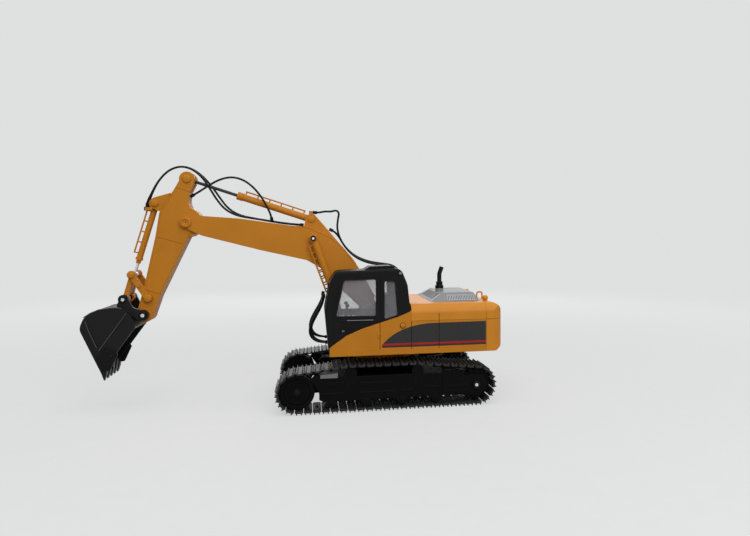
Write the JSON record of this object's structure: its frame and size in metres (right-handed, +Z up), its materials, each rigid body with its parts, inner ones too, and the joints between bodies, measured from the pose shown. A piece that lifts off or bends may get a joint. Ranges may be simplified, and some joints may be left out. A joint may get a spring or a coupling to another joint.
{
  "type": "toy excavator",
  "caption": "Radio-controlled toy crawler excavator with slewing house, cab, jointed boom, stick and toothed bucket on driven tracks.",
  "frame": {"origin": "middle of the bounding box on the ground under the tracks", "axes": "+Z up, -X the way the bucket reaches, +Y the machine's right side, cab on -Y"},
  "size_m": [0.4789, 0.165, 0.2847],
  "materials": {
    "orange_plastic": "satin",
    "black_plastic": "satin",
    "track_plastic": "matt",
    "grey_plastic": "matt",
    "gear_plastic": "natural",
    "motor_case": "plated",
    "steel": "plated",
    "dark_rod": "satin",
    "hose_rubber": "satin",
    "clear_plastic": "polished",
    "battery_wrap": "shrink sleeve",
    "board": "lacquered",
    "switch_plastic": "satin"
  },
  "bodies": {
    "undercarriage": {"chassis_frame": "black_plastic", "slew_ring_gear": "gear_plastic", "track_frame_left": "black_plastic", "track_frame_right": "black_plastic", "drive_motors": "motor_case", "undercarriage_screws": "steel", "track_links_left": "track_plastic", "track_links_right": "track_plastic"},
    "house": {"house_floor": "orange_plastic", "side_panel_left": "orange_plastic", "side_panel_right": "orange_plastic", "hood": "orange_plastic", "counterweight": "orange_plastic", "engine_cover": "grey_plastic", "exhaust_stack": "black_plastic", "front_deck": "black_plastic", "cab_shell": "black_plastic", "cab_windows": "clear_plastic", "cab_seat": "black_plastic", "control_levers": "black_plastic", "battery_pack": "battery_wrap", "circuit_board": "board", "slew_motor": "motor_case", "house_pins": "steel"},
    "slew_pinion": {"slew_pinion": "gear_plastic"},
    "power_switch": {"power_switch": "switch_plastic"},
    "boom": {"boom_half_left": "orange_plastic", "boom_half_right": "orange_plastic", "boom_pins": "steel", "boom_hoses": "hose_rubber", "cylinder_hoses": "hose_rubber"},
    "stick": {"stick_half_left": "orange_plastic", "stick_half_right": "orange_plastic", "stick_pins": "steel", "stick_hoses": "hose_rubber"},
    "stick_cylinder_barrel": {"stick_cylinder_barrel": "orange_plastic"},
    "stick_cylinder_rod": {"stick_cylinder_rod": "dark_rod"},
    "bucket": {"bucket": "black_plastic", "bucket_side_cutters": "black_plastic", "bucket_pins": "steel"},
    "rocker": {"rocker_bars": "orange_plastic"},
    "link": {"bucket_link": "orange_plastic"},
    "bucket_cylinder_barrel": {"bucket_cylinder_barrel": "orange_plastic"},
    "bucket_cylinder_rod": {"bucket_cylinder_rod": "steel"},
    "boom_cylinder_barrel_left": {"boom_cylinder_barrel_left": "orange_plastic"},
    "boom_cylinder_rod_left": {"boom_cylinder_rod_left": "dark_rod"},
    "boom_cylinder_barrel_right": {"boom_cylinder_barrel_right": "orange_plastic"},
    "boom_cylinder_rod_right": {"boom_cylinder_rod_right": "dark_rod"},
    "sprocket_left": {"sprocket_left": "black_plastic"},
    "idler_left": {"idler_left": "black_plastic"},
    "bottom_roller_left_1": {"bottom_roller_left_1": "black_plastic"},
    "bottom_roller_left_2": {"bottom_roller_left_2": "black_plastic"},
    "bottom_roller_left_3": {"bottom_roller_left_3": "black_plastic"},
    "bottom_roller_left_4": {"bottom_roller_left_4": "black_plastic"},
    "sprocket_right": {"sprocket_right": "black_plastic"},
    "idler_right": {"idler_right": "black_plastic"},
    "bottom_roller_right_1": {"bottom_roller_right_1": "black_plastic"},
    "bottom_roller_right_2": {"bottom_roller_right_2": "black_plastic"},
    "bottom_roller_right_3": {"bottom_roller_right_3": "black_plastic"},
    "bottom_roller_right_4": {"bottom_roller_right_4": "black_plastic"}
  },
  "joints": [
    {"name": "house_swing", "type": "hinge", "parent": "undercarriage", "child": "house", "pos_m": [0.1, 0, 0.056], "axis": [0, 0, 1], "continuous": true},
    {"name": "pinion_spin", "type": "hinge", "parent": "house", "child": "slew_pinion", "pos_m": [0.122, 0, 0.056], "axis": [0, 0, 1], "continuous": true},
    {"name": "switch_slide", "type": "slide", "parent": "house", "child": "power_switch", "axis": [1, 0, 0], "range_m": [0, 0.0036]},
    {"name": "boom_raise", "type": "hinge", "parent": "house", "child": "boom", "pos_m": [0.0835, 0, 0.113], "axis": [0, -1, 0], "range_deg": [-20, 30], "deforming": ["boom_hoses", "cylinder_hoses"]},
    {"name": "stick_swing", "type": "hinge", "parent": "boom", "child": "stick", "pos_m": [-0.1316, 0, 0.2159], "axis": [0, -1, 0], "range_deg": [-30, 30], "deforming": ["stick_hoses"]},
    {"name": "bucket_curl", "type": "hinge", "parent": "stick", "child": "bucket", "pos_m": [-0.1767, 0, 0.1087], "axis": [0, -1, 0], "range_deg": [-20, 70]},
    {"name": "boom_cylinder_tilt_left", "type": "hinge", "parent": "boom", "child": "boom_cylinder_barrel_left", "pos_m": [0.0145, -0.021, 0.1971], "axis": [0, -1, 0], "range_deg": [-2.4, 1.6]},
    {"name": "boom_cylinder_slide_left", "type": "slide", "parent": "boom_cylinder_barrel_left", "child": "boom_cylinder_rod_left", "axis": [0.346, 0, -0.9382], "range_m": [-0.0188, 0.0126]},
    {"name": "boom_cylinder_tilt_right", "type": "hinge", "parent": "boom", "child": "boom_cylinder_barrel_right", "pos_m": [0.0145, 0.021, 0.1971], "axis": [0, -1, 0], "range_deg": [-2.4, 1.6]},
    {"name": "boom_cylinder_slide_right", "type": "slide", "parent": "boom_cylinder_barrel_right", "child": "boom_cylinder_rod_right", "axis": [0.346, 0, -0.9382], "range_m": [-0.0188, 0.0126]},
    {"name": "stick_cylinder_tilt", "type": "hinge", "parent": "boom", "child": "stick_cylinder_barrel", "pos_m": [0.0123, 0, 0.2206], "axis": [0, -1, 0], "range_deg": [-3.1, 3.1]},
    {"name": "stick_cylinder_slide", "type": "slide", "parent": "stick_cylinder_barrel", "child": "stick_cylinder_rod", "axis": [-0.9507, 0, 0.31], "range_m": [-0.0252, 0.0252]},
    {"name": "rocker_swing", "type": "hinge", "parent": "stick", "child": "rocker", "pos_m": [-0.1724, 0, 0.1278], "axis": [0, -1, 0], "range_deg": [-18.8, 65.5]},
    {"name": "link_swing", "type": "hinge", "parent": "rocker", "child": "link", "pos_m": [-0.1903, 0, 0.1551], "axis": [0, -1, 0], "range_deg": [-44.8, 12.9]},
    {"name": "bucket_cylinder_tilt", "type": "hinge", "parent": "stick", "child": "bucket_cylinder_barrel", "pos_m": [-0.1667, 0, 0.2381], "axis": [0, -1, 0], "range_deg": [-5.2, 1.6]},
    {"name": "bucket_cylinder_slide", "type": "slide", "parent": "bucket_cylinder_barrel", "child": "bucket_cylinder_rod", "axis": [-0.2735, 0, -0.9619], "range_m": [-0.0091, 0.0316]},
    {"name": "drive_left", "type": "hinge", "parent": "undercarriage", "child": "sprocket_left", "pos_m": [0.2035, -0.0625, 0.024], "axis": [0, 1, 0], "continuous": true},
    {"name": "idler_spin_left", "type": "hinge", "parent": "undercarriage", "child": "idler_left", "pos_m": [-0.0035, -0.0625, 0.024], "axis": [0, 1, 0], "continuous": true},
    {"name": "roller_spin_left_1", "type": "hinge", "parent": "undercarriage", "child": "bottom_roller_left_1", "pos_m": [0.0352, -0.0625, 0.0104], "axis": [0, 1, 0], "continuous": true},
    {"name": "roller_spin_left_2", "type": "hinge", "parent": "undercarriage", "child": "bottom_roller_left_2", "pos_m": [0.0746, -0.0625, 0.0104], "axis": [0, 1, 0], "continuous": true},
    {"name": "roller_spin_left_3", "type": "hinge", "parent": "undercarriage", "child": "bottom_roller_left_3", "pos_m": [0.115, -0.0625, 0.0104], "axis": [0, 1, 0], "continuous": true},
    {"name": "roller_spin_left_4", "type": "hinge", "parent": "undercarriage", "child": "bottom_roller_left_4", "pos_m": [0.1555, -0.0625, 0.0104], "axis": [0, 1, 0], "continuous": true},
    {"name": "drive_right", "type": "hinge", "parent": "undercarriage", "child": "sprocket_right", "pos_m": [0.2035, 0.0625, 0.024], "axis": [0, 1, 0], "continuous": true},
    {"name": "idler_spin_right", "type": "hinge", "parent": "undercarriage", "child": "idler_right", "pos_m": [-0.0035, 0.0625, 0.024], "axis": [0, 1, 0], "continuous": true},
    {"name": "roller_spin_right_1", "type": "hinge", "parent": "undercarriage", "child": "bottom_roller_right_1", "pos_m": [0.0352, 0.0625, 0.0104], "axis": [0, 1, 0], "continuous": true},
    {"name": "roller_spin_right_2", "type": "hinge", "parent": "undercarriage", "child": "bottom_roller_right_2", "pos_m": [0.0746, 0.0625, 0.0104], "axis": [0, 1, 0], "continuous": true},
    {"name": "roller_spin_right_3", "type": "hinge", "parent": "undercarriage", "child": "bottom_roller_right_3", "pos_m": [0.115, 0.0625, 0.0104], "axis": [0, 1, 0], "continuous": true},
    {"name": "roller_spin_right_4", "type": "hinge", "parent": "undercarriage", "child": "bottom_roller_right_4", "pos_m": [0.1555, 0.0625, 0.0104], "axis": [0, 1, 0], "continuous": true}
  ],
  "couplings": [
    {"joint": "pinion_spin", "follows": "house_swing", "ratio": -4.6667},
    {"joint": "boom_cylinder_tilt_left", "follows": "boom_raise", "ratio": -0.0749},
    {"joint": "boom_cylinder_slide_left", "follows": "boom_raise", "m_per_rad": -0.035747},
    {"joint": "boom_cylinder_tilt_right", "follows": "boom_raise", "ratio": -0.0749},
    {"joint": "boom_cylinder_slide_right", "follows": "boom_raise", "m_per_rad": -0.035747},
    {"joint": "stick_cylinder_tilt", "follows": "stick_swing", "ratio": 0.0993},
    {"joint": "stick_cylinder_slide", "follows": "stick_swing", "m_per_rad": 0.047988},
    {"joint": "rocker_swing", "follows": "bucket_curl", "ratio": 0.933},
    {"joint": "link_swing", "follows": "bucket_curl", "ratio": -0.637},
    {"joint": "bucket_cylinder_tilt", "follows": "bucket_curl", "ratio": -0.0723},
    {"joint": "bucket_cylinder_slide", "follows": "bucket_curl", "m_per_rad": 0.02577},
    {"joint": "idler_spin_left", "follows": "drive_left", "ratio": 1},
    {"joint": "roller_spin_left_1", "follows": "drive_left", "ratio": 3.3333},
    {"joint": "roller_spin_left_2", "follows": "drive_left", "ratio": 3.3333},
    {"joint": "roller_spin_left_3", "follows": "drive_left", "ratio": 3.3333},
    {"joint": "roller_spin_left_4", "follows": "drive_left", "ratio": 3.3333},
    {"joint": "idler_spin_right", "follows": "drive_right", "ratio": 1},
    {"joint": "roller_spin_right_1", "follows": "drive_right", "ratio": 3.3333},
    {"joint": "roller_spin_right_2", "follows": "drive_right", "ratio": 3.3333},
    {"joint": "roller_spin_right_3", "follows": "drive_right", "ratio": 3.3333},
    {"joint": "roller_spin_right_4", "follows": "drive_right", "ratio": 3.3333}
  ]
}
